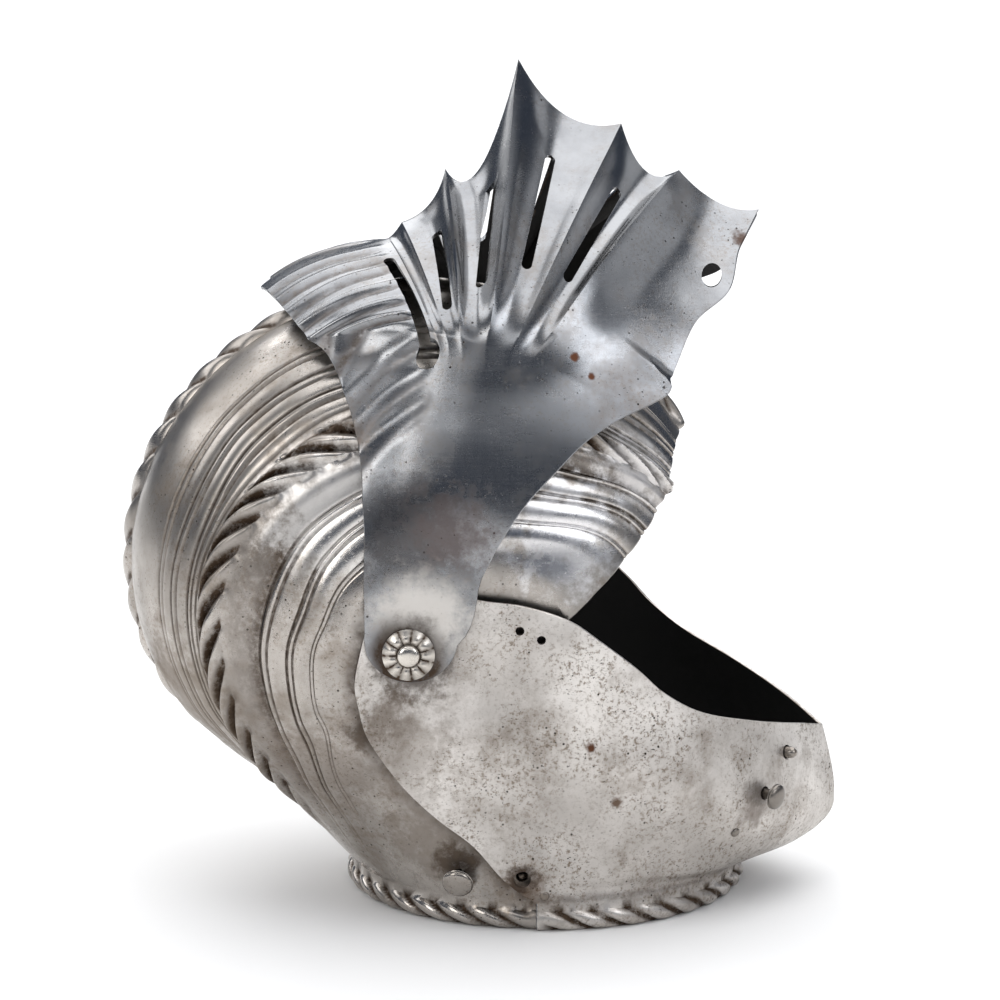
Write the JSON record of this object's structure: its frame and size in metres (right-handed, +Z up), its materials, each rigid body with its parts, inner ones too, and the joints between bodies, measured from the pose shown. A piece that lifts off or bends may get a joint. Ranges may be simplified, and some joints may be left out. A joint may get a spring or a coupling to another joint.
{
  "type": "fluted close helmet",
  "caption": "Fluted steel close helmet with roped crest, hinged bellows visor with sight slots, hinged bevor and rolled neck rim",
  "frame": {"origin": "middle of the bounding box in plan, on the plane of the neck rim's underside", "axes": "+X is the front of the helmet, +Z is up, -Y is the wearer's right side"},
  "size_m": [0.3298, 0.224, 0.3833],
  "materials": {
    "skull_steel": "worn polish with brown patina in the hollows",
    "bevor_steel": "worn polish with fine pitting",
    "visor_steel": "brighter worn polish with fine scratches",
    "bolt_steel": "worn polish, brown in the grooves",
    "catch_steel": "dull and patinated"
  },
  "bodies": {
    "shell": {"skull": "skull_steel", "pivot_bolt_right": "bolt_steel", "pivot_bolt_left": "bolt_steel"},
    "chin_guard": {"bevor": "bevor_steel", "bevor_rivet_front": "catch_steel", "bevor_rivet_neck": "catch_steel"},
    "face_guard": {"visor": "visor_steel"},
    "visor_button": {"visor_catch": "catch_steel"},
    "neck_button": {"neck_catch": "catch_steel"}
  },
  "joints": [
    {"name": "bevor_hinge", "type": "hinge", "parent": "shell", "child": "chin_guard", "pos_m": [-0.0301, 0, 0.1332], "axis": [0, 1, 0], "range_deg": [-60, 0]},
    {"name": "visor_hinge", "type": "hinge", "parent": "chin_guard", "child": "face_guard", "pos_m": [-0.0301, 0, 0.1332], "axis": [0, 1, 0], "range_deg": [0, 68]},
    {"name": "visor_press", "type": "slide", "parent": "chin_guard", "child": "visor_button", "axis": [-0.7817, 0.6195, -0.0717], "range_m": [0, 0.003], "stiffness_N_per_m": 600},
    {"name": "neck_press", "type": "slide", "parent": "shell", "child": "neck_button", "axis": [0.2265, 0.9413, 0.2503], "range_m": [0, 0.003], "stiffness_N_per_m": 600}
  ]
}
